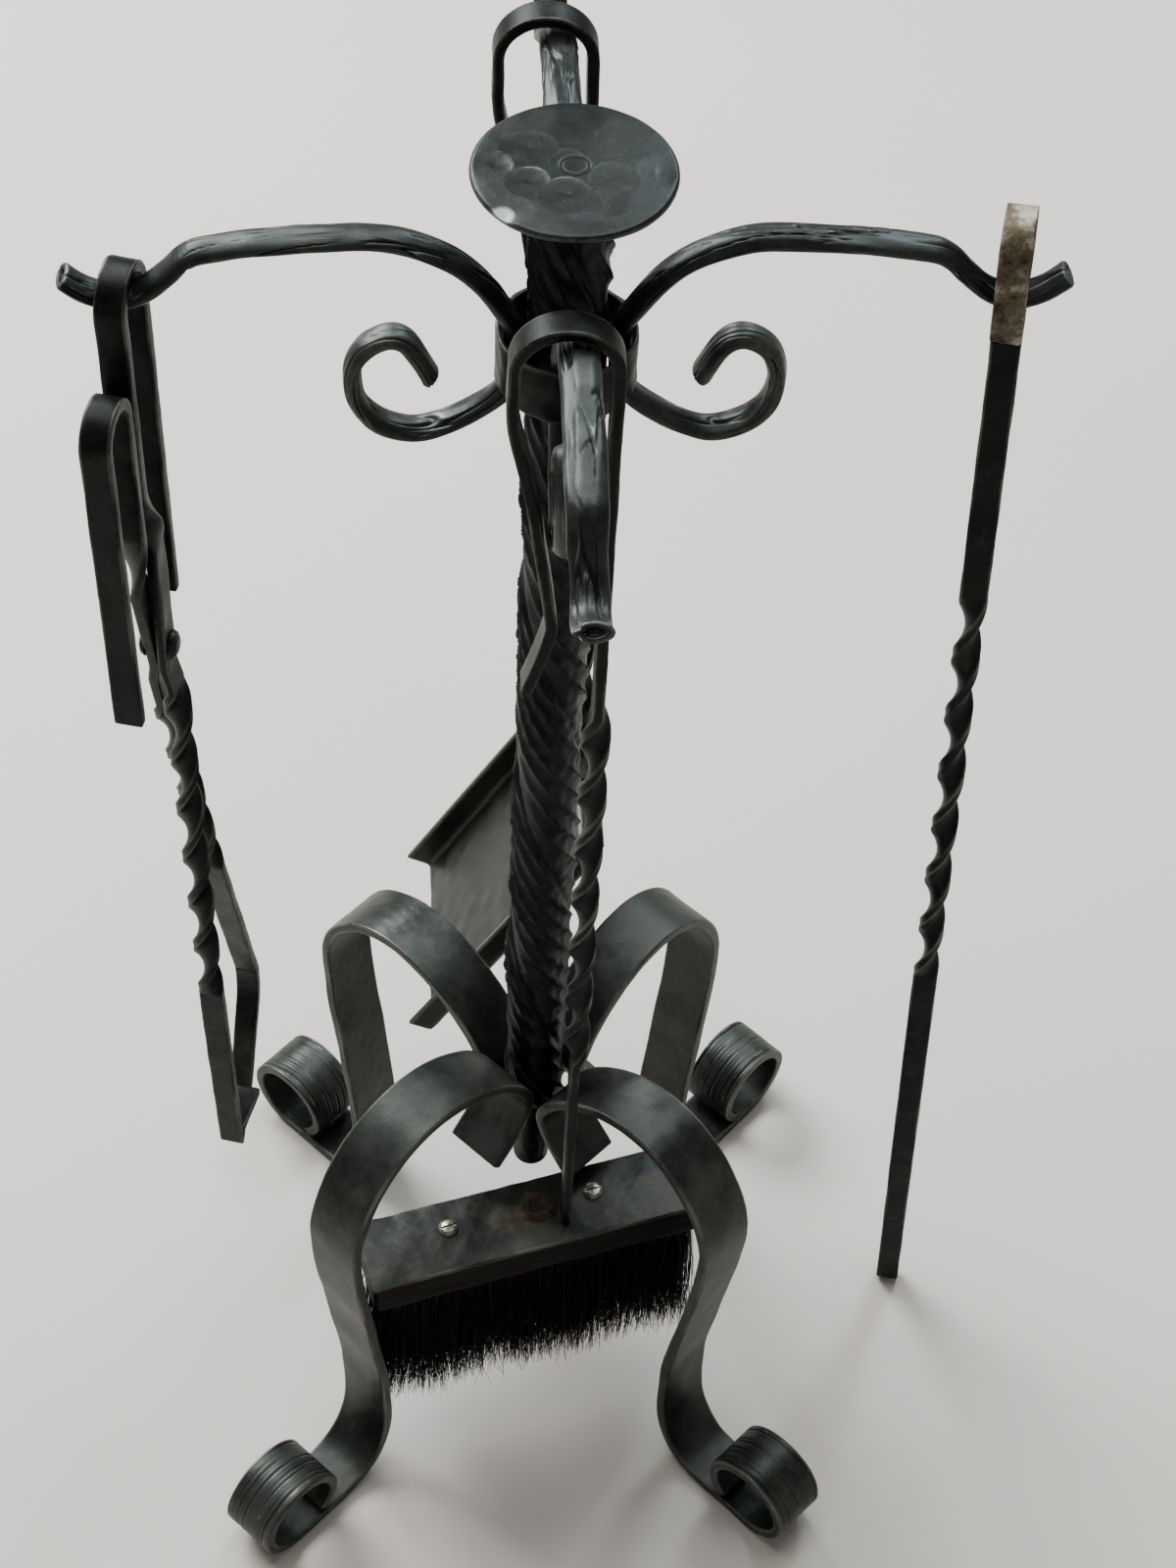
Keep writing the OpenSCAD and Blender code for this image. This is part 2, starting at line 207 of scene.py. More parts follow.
class Bar:
    """Stations along a bar: middle points, width and thickness directions, and the length so far."""

    def __init__(self, route, step, end=0.8, turn=None, off=None):
        """route is in the XZ plane, in mm, step is how far apart the stations are and end is how long the
        worn ends are. turn and off give a bar's turn about its own line, in degrees, and how far it lies
        off the plane along Y, from its height; they hold on the stem alone."""
        p = np.array(route, float)
        p = p[np.concatenate([[True], np.linalg.norm(np.diff(p, axis=0), axis=1) > 1e-6])]
        far = np.concatenate([[0], np.cumsum(np.linalg.norm(np.diff(p, axis=0), axis=1))])
        inner = np.linspace(end, far[-1] - end, max(2, round(far[-1] / step)))
        rim = np.array(END_SHARES) * end
        self.s = np.concatenate([rim, inner, far[-1] - rim[::-1]])
        x, z = (np.interp(self.s, far, p[:, k]) for k in (0, 1))
        ahead, behind = (np.clip(self.s + d, 0, far[-1]) for d in (AHEAD, -AHEAD))
        along = np.stack([np.interp(ahead, far, p[:, k]) - np.interp(behind, far, p[:, k]) for k in (0, 1)])
        along /= np.linalg.norm(along, axis=0)
        nought = np.zeros_like(x)
        side = np.stack([-along[1], nought, along[0]], -1)
        flat = np.stack([nought, nought + 1, nought], -1)
        on_stem = np.arange(len(z)) > np.argmax(z)
        angle = np.radians(np.where(on_stem, turn(z), 0)) if turn else nought
        self.middle = np.stack([x, np.where(on_stem, off(z), 0) if off else nought, z], -1)
        self.thick = side * np.cos(angle)[:, None] + flat * np.sin(angle)[:, None]
        self.width = flat * np.cos(angle)[:, None] - side * np.sin(angle)[:, None]
        self.end = end

    def moved(self, matrix):
        """The same bar under a 4 by 4 matrix whose shift is in mm."""
        turn = np.array(matrix)[:3, :3].T
        self.middle = carry(self.middle, matrix)
        self.thick = self.thick @ turn
        self.width = self.width @ turn
        return self

    def from_end(self):
        """How far each station is from the nearer end."""
        return np.minimum(self.s, self.s[-1] - self.s)

    def rounding(self):
        """How far the outline draws in at each station, for the worn corners of the two cut ends."""
        t = np.clip(1 - self.from_end() / self.end, 0, 1)
        return self.end * (1 - np.sqrt(1 - t * t))


def spin(axis, degrees):
    """A turn about a row axis, as a 4 by 4 matrix."""
    return Matrix.Rotation(math.radians(degrees), 4, axis)


def at(place):
    """A shift to a place, as a 4 by 4 matrix."""
    return Matrix.Translation(Vector(place))


# ---------------------------------------------------------------- outlines across a bar

class Outline:
    """A closed outline: w across, t through the thickness, its outward directions and its worn corners."""

    def __init__(self, w, t, nw, nt, worn):
        self.w, self.t, self.nw, self.nt, self.worn = (np.array(v, float) for v in (w, t, nw, nt, worn))


def oval_outline(wide, thick, sides):
    """An ellipse."""
    a = full_turn(sides)
    w, t = np.cos(a) * wide / 2, np.sin(a) * thick / 2
    nw, nt = np.cos(a) * thick, np.sin(a) * wide
    size = np.hypot(nw, nt)
    return Outline(w, t, nw / size, nt / size, np.zeros(sides))


def strap_outline(wide, thick, corner, across, through=2):
    """A rounded rectangle, with its broad faces cut in across pieces and its narrow ones in through."""
    rows = []
    half = (wide / 2 - corner, thick / 2 - corner)
    for quarter, (sw, st) in enumerate([(1, 1), (-1, 1), (-1, -1), (1, -1)]):
        for k in range(4):
            a = math.radians(90 * quarter + 30 * k)
            rows.append((sw * half[0] + corner * math.cos(a), st * half[1] + corner * math.sin(a),
                         math.cos(a), math.sin(a), 1))
        broad = quarter % 2 == 0
        count = across if broad else through
        for k in range(1, count):
            share = 1 - 2 * k / count
            rows.append((sw * half[0] * share, st * thick / 2, 0, st, 0) if broad
                        else (sw * wide / 2, st * half[1] * share, sw, 0, 0))
    return Outline(*zip(*rows))


# ---------------------------------------------------------------- relief

def waves(w, t, s, size, seed):
    """A smooth seeded field of about -1 to 1 in a bar's own space, with bumps about as long as size,
    one length or three for the width, the thickness and the length."""
    count = 16
    rng = np.random.default_rng(seed)
    heading = rng.normal(size=(count, 3))
    heading /= np.linalg.norm(heading, axis=1)[:, None]
    turns = heading * 2 * math.pi / np.broadcast_to(size, (3,)) * rng.uniform(0.5, 1.5, (count, 1))
    total = 0
    for (a, b, c), start in zip(turns, rng.uniform(0, 2 * math.pi, count)):
        total = total + np.sin(a * w + b * t + c * s + start)
    return total / math.sqrt(count)


def ridge(away, half_width):
    """A smooth hump of height 1: away is how far a point is from its middle."""
    return np.exp(-((away / half_width) ** 2))


def dents(x, y, places, depth):
    """Round hammer marks cut into a face, and a painted highlight on each: a bright crescent on the
    side that it cuts hardest, where the light catches its rim.
    """
    cut, highlight_crescent = np.zeros_like(x * y), np.zeros_like(x * y)
    for cx, cy, r, share, side in places:
        far = np.hypot(x - cx, y - cy)
        towards = np.cos(np.arctan2(y - cy, x - cx) - math.radians(side))
        hard = np.clip(0.5 + 0.5 * towards, 0, 1) ** 1.5
        bowl = np.sqrt(np.clip(1 - (far / r) ** 2, 0, 1))
        cut = np.maximum(cut, depth * share * (0.35 + 0.65 * hard) * bowl)
        highlight_crescent = np.maximum(highlight_crescent, share * hard**2 * ridge(far - r, 0.5))
    return -cut, highlight_crescent


# ---------------------------------------------------------------- meshes

def skin(name, rings, worn=0, mark=0, rust=0, loop=False):
    """Joins rows of rings (n, m, 3), in mm, into one closed mesh. worn, mark and rust are marks from 0
    to 1 that the materials read. loop joins the last ring to the first, as on a band."""
    n, m = rings.shape[:2]
    points = rings.reshape(-1, 3)
    i, k = np.meshgrid(np.arange(n if loop else n - 1), np.arange(m), indexing="ij")
    j, after = (k + 1) % m, (i + 1) % n
    faces = np.stack([i * m + k, i * m + j, after * m + j, after * m + k], -1).reshape(-1, 4).tolist()
    if not loop:
        points = np.vstack([points, rings[0].mean(0), rings[-1].mean(0)])
        faces += [((q + 1) % m, q, n * m) for q in range(m)]
        faces += [((n - 1) * m + q, (n - 1) * m + (q + 1) % m, n * m + 1) for q in range(m)]
    mesh = bpy.data.meshes.new(name)
    mesh.from_pydata((points * MM).tolist(), [], faces)
    add_marks(mesh, (n, m), worn, mark, rust)
    return make_object(name, mesh)


def add_marks(mesh, shape, worn=0, mark=0, rust=0):
    """Writes the three marks on a mesh whose first points are a grid of that shape."""
    for label, value in (("worn", worn), ("mark", mark), ("rust", rust)):
        values = np.zeros(len(mesh.vertices), np.float32)
        values[: shape[0] * shape[1]] = np.broadcast_to(value, shape).ravel()
        mesh.attributes.new(label, "FLOAT", "POINT").data.foreach_set("value", values)


def add_object(name, data):
    """A new object in the scene."""
    obj = bpy.data.objects.new(name, data)
    bpy.context.scene.collection.objects.link(obj)
    return obj


def make_object(name, mesh):
    """A smooth-shaded object with its faces turned outwards."""
    work = bmesh.new()
    work.from_mesh(mesh)
    bmesh.ops.recalc_face_normals(work, faces=work.faces)
    work.to_mesh(mesh)
    work.free()
    mesh.shade_smooth()
    return add_object(name, mesh)


def forge(name, bar, outline, relief, rust=0, crown=0, hollow=0):
    """Sweeps an outline along a bar. relief(w, t, s) gives how far the skin stands out, in mm, and a
    mark: up to 1 for painted shade in a groove, and down to -1 for a painted highlight on a lip. crown is
    how far the outline is moved through its thickness; hollow is how deep the bar's first end is dished."""
    w, t = outline.w[None, :], outline.t[None, :]
    s = bar.s[:, None]
    out, mark = relief(w, t, s)
    out = out - bar.rounding()[:, None]
    sideways = w + outline.nw * out
    through = t + outline.nt * out + crown
    rings = bar.middle[:, None, :] + sideways[..., None] * bar.width[:, None, :]
    rings = rings + through[..., None] * bar.thick[:, None, :]
    ends = np.clip(1.4 - bar.from_end()[:, None] / bar.end, 0, 1)
    worn = np.clip(outline.worn * (0.72 + 0.22 * waves(w, t, s, 34, 5)), 0, 1)
    # Worn corners and ends are real wear; the painted highlights on lips join them here from the negative
    # mark.
    worn = np.maximum(np.maximum(worn, 0.7 * ends), np.clip(-mark, 0, 1))
    # The positive mark is the painted shade in grooves.
    mark = np.clip(mark, 0, 1) + 0 * worn
    if hollow:
        rings, worn, mark = dish_end(bar, rings, worn, mark, hollow)
        rust = np.concatenate([np.repeat(rust[:1], len(rings) - len(rust), 0), rust])
    return skin(name, rings, worn, mark, rust)


# The hollow in a dished end, from its middle out: the share of the outline, of the depth, and its painted
# shade
HOLLOW = [(0.25, 1.0, 0.7), (0.42, 0.85, 0.6), (0.55, 0.5, 0.4), (0.64, 0.16, 0.15), (0.72, 0, 0)]


def dish_end(bar, rings, worn, mark, depth):
    """Adds the dished hollow in a bar's first end, and darkens it with painted shade."""
    middle = rings[0].mean(0)
    inward = bar.middle[6] - bar.middle[0]
    inward /= np.linalg.norm(inward)
    share, deep, dark = (np.array(HOLLOW)[:, k, None] for k in range(3))
    added = middle + share[..., None] * (rings[0] - middle) + (depth * deep * inward)[:, None, :]
    # Painted shade in the hollow rides in the mark, as the grooves' does.
    dark = dark + 0 * mark[:1]
    return np.concatenate([added, rings]), np.concatenate([0 * dark, worn]), np.concatenate([dark, mark])


def put_in(piece, node, material):
    """Gives a piece its material and makes it ride on its node's body in that node's stead."""
    piece.data.materials.append(material)
    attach(piece, BODY_OF[node])
    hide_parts(node)


# ---------------------------------------------------------------- materials

class Paint:
    """Builds one node material. Its methods add a node and return the socket that carries its result."""

    def __init__(self, name):
        self.material = bpy.data.materials.new(name)
        self.material.use_nodes = True
        self.tree = self.material.node_tree
        self.shader = self.tree.nodes["Principled BSDF"]
        self.place = self.node("ShaderNodeTexCoord").outputs["Object"]

    def node(self, kind, **settings):
        made = self.tree.nodes.new(kind)
        for key, value in settings.items():
            setattr(made, key, value)
        return made

    def feed(self, socket, value):
        """Puts a link, a colour or a number into a socket."""
        if isinstance(value, bpy.types.NodeSocket):
            self.tree.links.new(value, socket)
        elif socket.type == "RGBA":
            socket.default_value = (*value, 1)
        else:
            socket.default_value = value

    def noise(self, scale, detail, roughness, stretch=(1, 1, 1), distortion=0):
        """Noise with scale bumps to the metre."""
        mapped = self.node("ShaderNodeMapping")
        mapped.inputs["Scale"].default_value = stretch
        self.feed(mapped.inputs["Vector"], self.place)
        made = self.node("ShaderNodeTexNoise")
        self.feed(made.inputs["Vector"], mapped.outputs["Vector"])
        for key, value in (("Scale", scale), ("Detail", detail), ("Roughness", roughness),
                           ("Distortion", distortion)):
            made.inputs[key].default_value = value
        return made.outputs["Fac"]

    def mark(self, label):
        """A mark that the mesh carries."""
        return self.node("ShaderNodeAttribute", attribute_name=label).outputs["Fac"]

    def math(self, operation, a, b):
        made = self.node("ShaderNodeMath", operation=operation)
        for socket, value in zip(made.inputs, (a, b)):
            self.feed(socket, value)
        return made.outputs[0]

    def scaled(self, value, share):
        """A value times a plain number."""
        return self.math("MULTIPLY", value, share)

    def between(self, value, low, high):
        """0 below low and 1 above high, smooth in between."""
        made = self.node("ShaderNodeMapRange", interpolation_type="SMOOTHSTEP")
        for key, given in (("Value", value), ("From Min", low), ("From Max", high)):
            self.feed(made.inputs[key], given)
        return made.outputs[0]

    def mix(self, share, a, b):
        """Colour a, turning to b as share goes to 1."""
        made = self.node("ShaderNodeMix", data_type="RGBA")
        self.feed(made.inputs["Factor"], share)
        self.feed(made.inputs[6], a)
        self.feed(made.inputs[7], b)
        return made.outputs[2]

    def level(self, share, a, b):
        """A number that goes from a to b as share goes to 1."""
        made = self.node("ShaderNodeMapRange")
        self.feed(made.inputs["Value"], share)
        made.inputs["To Min"].default_value = a
        made.inputs["To Max"].default_value = b
        return made.outputs[0]

    def bump(self, height, depth_mm, strength, under=None):
        """A height as a normal, on top of the one under it."""
        made = self.node("ShaderNodeBump")
        made.inputs["Strength"].default_value = strength
        made.inputs["Distance"].default_value = depth_mm * MM
        self.feed(made.inputs["Height"], height)
        if under is not None:
            self.feed(made.inputs["Normal"], under)
        return made.outputs["Normal"]

    def done(self, colour, roughness, normal, metallic=0.0, specular=0.5):
        """Feeds the shader and gives the material."""
        for key, value in (("Base Color", colour), ("Roughness", roughness), ("Normal", normal),
                           ("Metallic", metallic)):
            self.feed(self.shader.inputs[key], value)
        self.shader.inputs["Specular IOR Level"].default_value = specular
        return self.material


# Colours from the deepest to the palest, where a piece is marked as rusty or worn bare: the weld, the
# tongs' jaw, the poker's hook and the arms
BROWN_RUST = ((0.034, 0.027, 0.018), (0.095, 0.074, 0.046), (0.155, 0.130, 0.090))
JAW_RUST = ((0.040, 0.040, 0.034), (0.085, 0.083, 0.066), (0.150, 0.142, 0.112))
HOOK_RUST = ((0.034, 0.030, 0.023), (0.130, 0.108, 0.074), (0.38, 0.36, 0.29))
BARE_IRON = ((0.044, 0.049, 0.045), (0.084, 0.092, 0.084), (0.140, 0.150, 0.134))


def iron(name, dark, pale, worn=(0.22, 0.22, 0.20), shine=(0.36, 0.56), pits=0.08, tarnish=BROWN_RUST,
         specular=0.4):
    """Blackened and waxed iron: clouded scale, bright worn corners, rust where marked, painted shade
    in grooves and hollows, and painted highlights on lips and dents.
    """
    paint = Paint(name)
    clouds = paint.noise(30, 8, 0.66)
    grain = paint.noise(330, 4, 0.6)
    fine = paint.noise(1500, 2, 0.6)
    spots = paint.noise(95, 7, 0.68)
    brown = paint.between(paint.noise(85, 5, 0.65), 0.54, 0.72)
    # Painted shade: the colour that grooves and hollows are darkened to.
    groove_shade = tuple(0.25 * c for c in dark)
    # The scale: clouds, pale grain, brown stains and bright specks
    body = paint.mix(paint.between(clouds, 0.36, 0.66), dark, pale)
    body = paint.mix(paint.scaled(paint.between(grain, 0.48, 0.72), 0.28), body, pale)
    body = paint.mix(paint.scaled(brown, 0.22), body, tarnish[1])
    body = paint.mix(paint.scaled(paint.between(fine, 0.66, 0.74), 0.20), body, worn)
    # The marks: worn corners, with the painted highlights that share their mark, and painted shade in
    # grooves and hollows
    edge = paint.math("ADD", paint.mark("worn"), paint.scaled(grain, 0.45))
    body = paint.mix(paint.scaled(paint.between(edge, 0.70, 1.30), 0.70), body, worn)
    body = paint.mix(paint.scaled(paint.mark("mark"), 0.85), body, groove_shade)
    # The rust or bare iron over it, which sets in through the clouds
    rust = paint.mix(paint.between(spots, 0.34, 0.44), tarnish[0], tarnish[1])
    rust = paint.mix(paint.between(spots, 0.45, 0.60), rust, tarnish[2])
    rusty = paint.math("ADD", paint.mark("rust"), paint.scaled(clouds, 0.5))
    rusty = paint.between(rusty, 0.50, 1.15)
    body = paint.mix(rusty, body, rust)
    rough = paint.level(paint.between(clouds, 0.3, 0.7), *shine)
    rough = paint.math("ADD", rough, paint.scaled(rusty, 0.06))
    normal = paint.bump(fine, pits, 0.8)
    normal = paint.bump(grain, 0.12, 0.5, normal)
    return paint.done(body, rough, normal, paint.level(rusty, 0.5, 0.4), specular)


def wood():
    """Dark stained hardwood, with its grain along the block."""
    paint = Paint("dark_wood")
    grain = paint.noise(520, 5, 0.62, (0.06, 1, 1), 0.6)
    bands = paint.noise(70, 3, 0.5, (0.15, 1, 1))
    colour = paint.mix(paint.between(grain, 0.35, 0.7), (0.004, 0.003, 0.003), (0.014, 0.010, 0.007))
    colour = paint.mix(paint.scaled(paint.between(bands, 0.4, 0.7), 0.5), colour, (0.014, 0.010, 0.008))
    colour = paint.mix(paint.scaled(paint.mark("worn"), 0.3), colour, (0.06, 0.042, 0.030))
    return paint.done(colour, paint.level(grain, 0.48, 0.70), paint.bump(grain, 0.15, 0.8), 0.0, 0.2)


def hair():
    """Coarse black bristle, a little browner towards some tips."""
    paint = Paint("black_bristle")
    tone = paint.noise(600, 2, 0.5)
    colour = paint.mix(paint.between(tone, 0.45, 0.75), (0.0012, 0.0012, 0.0014), (0.006, 0.0055, 0.005))
    return paint.done(colour, paint.level(tone, 0.42, 0.60), paint.bump(tone, 0.02, 0.4), 0.0, 0.22)


def screw_metal():
    """Dull plated steel with a brassy cast."""
    paint = Paint("dull_screw")
    tone = paint.noise(420, 4, 0.6)
    colour = paint.mix(paint.between(tone, 0.25, 0.8), (0.26, 0.25, 0.21), (0.46, 0.46, 0.41))
    return paint.done(colour, paint.level(tone, 0.26, 0.42), paint.bump(tone, 0.03, 0.5), 0.9)


def floor_paint():
    """A plain pale floor with a faint cloud in it."""
    paint = Paint("pale_floor")
    tone = paint.noise(3, 3, 0.5)
    colour = paint.mix(tone, (0.66, 0.625, 0.58), (0.71, 0.675, 0.63))
    return paint.done(colour, 0.6, paint.bump(paint.noise(240, 3, 0.5), 0.05, 0.3), 0.0, 0.3)


# ---------------------------------------------------------------- stand

def make_post(material):
    """The thick bar: nine ridges wind down it to the left, cut short by two steeper seams."""
    ridge_gap, ridges, seam_pitch = 14.0, 9, 200.0
    tip_r, step = 3, 1.3
    z = np.unique(np.concatenate([np.arange(STUB_BOTTOM + tip_r, POST_BOTTOM, 2.5),
                                  [POST_BOTTOM - 0.05, POST_BOTTOM, POST_BOTTOM + 0.7],
                                  np.arange(POST_BOTTOM + 1.6, POST_TOP, step), [POST_TOP + 0.5]]))
    tip = arc((STUB_R - tip_r, STUB_BOTTOM + tip_r), tip_r, 270, 355, 6)
    theta = full_turn(120)[None, :]
    turn = theta / (2 * math.pi)
    height = z[:, None]
    band = (2 * (turn + height / seam_pitch)) % 1
    phase = height / ridge_gap + ridges * turn + 0.55 * band**2
    crest = (1 - np.abs(np.sin(math.pi * phase))) ** 1.7
    strong = ease((band - 0.04) / 0.3) * ease((1 - band) / 0.05)
    strong = strong * (0.8 + 0.3 * waves(0, theta, height, (9, 3, 45), 3))
    seam = ridge(np.minimum(band, 1 - band), 0.035)
    x, y = np.cos(theta) * POST_R, np.sin(theta) * POST_R
    rough = 0.16 * waves(x, y, height, 5, 8) + 0.22 * waves(x, y, height, 22, 9)
    valley, ridge_height, seam_depth = POST_R - 1.5, 2.1, 0.7
    thick = valley + ridge_height * crest * strong - seam_depth * seam + rough
    neck_r, clear, lead_in = JOINT_R - ARM_T / 2 - 2 * FIT, 2, 6
    near_joint = ease((NECK_H / 2 + clear - np.abs(height - COLLAR_Z)) / lead_in)
    thick = thick + (neck_r - thick) * near_joint
    stub = STUB_R - 0.1 + 0.12 * waves(x, y, height, 6, 8) + 0 * theta
    lip = 0.8 * (height < POST_BOTTOM + 0.3)
    r = np.where(height < POST_BOTTOM, stub, thick - lip)
    end = lathed(tip[:, :1], theta, tip[:, 1:])
    rings = np.concatenate([end, lathed(r, theta, height)])
    plain = np.zeros_like(end[..., 0])
    # Painted shade: the mark darkens the seams and the valleys between the ridges; the bright crests below
    # are wear.
    mark = np.concatenate([plain, np.clip(seam + 0.3 * (1 - crest) * strong, 0, 1)])
    worn = np.concatenate([plain, 0.55 * crest * strong * (height > POST_BOTTOM)])
    put_in(skin("post_twisted", rings, worn, mark), "centre_post", material)


# Hammer marks on the disc: place and radius of each, in mm from its middle, how deep its rim is cut as a
# share of the deepest, and the side that is cut hardest and carries a painted highlight crescent, in
# degrees
DISC_MARKS = [
    (-13, 8, 8.5, 0.7, 120), (-24, 1, 6, 0.9, 60), (-14, -7, 6.5, 1, 70), (-3, -13, 7.5, 0.9, 95),
    (8, -16, 6, 0.5, 30), (11, -6, 7.5, 0.6, 110), (24, -2, 6, 0.8, 20), (15, 12, 9, 0.4, 140),
    (1, 20, 7, 0.3, 90), (-2, 3, 4.6, 0.6, 110), (-18, -19, 5.5, 0.5, 40), (4, -25, 5, 0.4, 80),
]


def make_disc(material):
    """The hammered plate on the post: top, worn edge and underside, with the tenon peened flat in it."""
    half_t, mark_depth, peen_r, peen_depth = DISC_T / 2, 0.62, 4.2, 0.30
    theta = full_turn(144)[None, :]
    top_r = np.linspace(0.4, DISC_R - half_t, 56)
    edge = arc((DISC_R - half_t, 0), half_t, 90, -90, 8)[1:-1]
    under_r = top_r[::-1][:-20]
    r = np.concatenate([top_r, edge[:, 0], under_r])[:, None]
    side = np.concatenate([half_t + 0 * top_r, edge[:, 1], 0 * under_r - half_t])[:, None]
    wobble = 1 + 0.006 * np.sin(2 * theta + 1) + 0.004 * np.sin(5 * theta)
    flat_r = r * np.where(r > DISC_R / 2, np.minimum(wobble, 1), 1)
    x, y = flat_r * np.cos(theta), flat_r * np.sin(theta)
    crown = DISC_RISE - half_t - 1.5 * (r / DISC_R) ** 2
    on_top = np.clip(side / half_t, 0, 1)
    cut, highlight_crescent = dents(x, y, DISC_MARKS, mark_depth)
    cut, highlight_crescent = cut * on_top, highlight_crescent * on_top
    peened = peen_depth * ridge(np.hypot(x, y) - peen_r, 0.5) * on_top
    nick = ridge(np.hypot(x + 22, y + 20.5), 4)
    z = POST_TOP + crown + side + cut - peened - 0.8 * nick * on_top
    z = z + 0.03 * waves(x, y, 0 * x, 7, 12) - 0.04
    rings = np.stack([x, y, z], -1)
    rim = 0.7 * np.clip((r - DISC_R + 1.0) / 0.8, 0, 1) * (side > -half_t * 0.5)
    # The worn mark holds the real wear of the rim and the nick, and the painted highlight crescents of the
    # dents.
    worn = np.maximum(np.maximum(0.95 * highlight_crescent, rim), 1.6 * nick)
    # Painted shade: the peened ring is passed as the mark, which darkens its shallow groove.
    put_in(skin("disc_hammered", rings, worn, peened / peen_depth), "top_disc", material)


def make_collar(material):
    """The band round the arms: a hoop of strap with rounded edges."""
    inner = JOINT_R + ARM_T / 2 + FIT
    middle, half = inner + COLLAR_WALL / 2, COLLAR_WALL / 2
    outline = strap_outline(COLLAR_H, COLLAR_WALL, 0.6, 10)
    theta = full_turn(160)[:, None]
    out = 0.22 * waves(outline.w[None, :], theta * middle, 0, 9, 21)
    r = middle + outline.t[None, :] + np.where(outline.nt > 0, out, 0) - 0.25 * half
    rings = lathed(r, theta, COLLAR_Z + outline.w[None, :])
    band = skin("collar_band", rings, outline.worn[None, :] * 0.8, loop=True)
    put_in(band, "arm_collar", material)


def bark_relief(seed, lap):
    """Long grooves that wander along a bar, run together and part again, as in bark, between shallow
    planes, with painted shade in the grooves and painted highlights on the lips beside them. lap is where
    the strip on one side ends in a step, as far from the tip."""
    def relief(w, t, s):
        wander = waves(w, t, s, (6, 6, 62), seed)
        second = waves(w, t, s, (4.5, 4.5, 38), seed + 1)
        here = ease(0.45 + 1.0 * waves(w, t, s, (12, 12, 34), seed + 2))
        there = ease(0.45 + 1.0 * waves(w, t, s, (9, 9, 26), seed + 4))
        deep, lip = (ridge(wander - x, 0.12) * here for x in (0, 0.27))
        shallow, edge = (ridge(second - x, 0.12) * there for x in (0, 0.26))
        planes = 0.20 * waves(w, t, s, (5.5, 5.5, 24), seed + 3)
        out = planes - 0.85 * deep - 0.42 * shallow + 0.1 * lip - 0.45
        # Painted shade in the deep and shallow grooves, and painted highlights on the lip and the edge
        # beside them.
        mark = deep + 0.75 * shallow - 0.85 * lip - 0.6 * edge
        if lap:
            out = out - 0.7 * ease((-w - 3.4) / 0.5) * ease((lap - s) / 0.9)
        return out, mark
    return relief


# How far from the tip the strip on one side of a short arm ends, in mm
BARK_LAPS = {"front": 34, "back": 24}


def make_arm(name, material, seed):
    """One bark bar. Its scroll and the two short arms are worn to bare iron, less so in the dip."""
    azimuth, reach, wide = ARMS[name]
    route = smooth(ARM_ROUTE, 6)
    route[:, 0] += (reach - 1) * np.maximum(0, route[:, 0] - ARM_BEND_R)
    route[:, 1] += ARM_LIFT
    bar = Bar(route, 0.8, 0.9).moved(spin("Z", azimuth))
    short = name in ("front", "back")
    lap = BARK_LAPS.get(name, 0)
    far = bar.s[:, None]
    scroll = ease((far - bar.s[-1] + 125) / 50)
    grey = np.maximum(0.55 * scroll, 0.42 * short * (1 - 0.5 * ridge(far - 30, 15)))
    outline = oval_outline(wide, ARM_T, 88)
    piece = forge(f"{name}_arm_bark", bar, outline, bark_relief(seed, lap), grey, hollow=1.5)
    put_in(piece, f"arm_{name}", material)


# Forged lines round a coil: how far each is from the strap's middle, its half width, both in mm, and its
# depth as a share
COIL_LINES = [
    (-10.6, 0.45, 1.0), (-8.9, 0.25, 0.4), (-7.6, 0.35, 0.7), (-5.2, 0.6, 0.5), (-3.8, 0.2, 0.5),
    (-1.6, 0.35, 0.8), (0.6, 0.2, 0.35), (2.3, 0.7, 0.45), (4.4, 0.3, 0.9), (6.1, 0.25, 0.4),
    (7.9, 0.4, 0.6), (10.1, 0.5, 1.0),
]


# How far from a leg's end its forged lines begin, in mm
COIL_STRETCH = 128


def leg_relief(seed, length):
    """A drawn strap: long hammer planes all over, and forged lines round its coil, with painted shade
    in them and painted highlights beside the deeper ones.
    """
    coil_from = length - COIL_STRETCH

    def relief(w, t, s):
        planes = 0.16 * waves(w, t, s, (24, 9, 30), seed) - 0.16
        fine = 0.03 * waves(w, t, s, (5, 4, 9), seed + 1)
        drift = w + 0.9 * waves(0, 0, s, (1, 1, 60), seed + 2)
        grooves, highlight_lips = 0, 0
        for x, half, depth in COIL_LINES:
            grooves = grooves + depth * ridge(drift - x, half)
            highlight_lips = highlight_lips + max(0, depth - 0.6) * ridge(drift - x - 2.2 * half, 1.2 * half)
        uneven = np.clip(0.7 + 0.5 * waves(w, t, s, (5, 5, 26), seed + 3), 0, 1.2)
        chips = np.clip(0.3 + 1.6 * waves(w, t, s, (4, 4, 7), seed + 4), 0, 2)
        fade = ease((s - coil_from) / 30) * (t < 0)
        grooves = grooves * uneven * fade
        # Painted shade in the grooves, and painted highlights beside the deeper ones, broken in places;
        # these highlights have no relief.
        return planes + fine - 0.52 * grooves, 0.8 * grooves - 2.4 * highlight_lips * chips * fade
    return relief


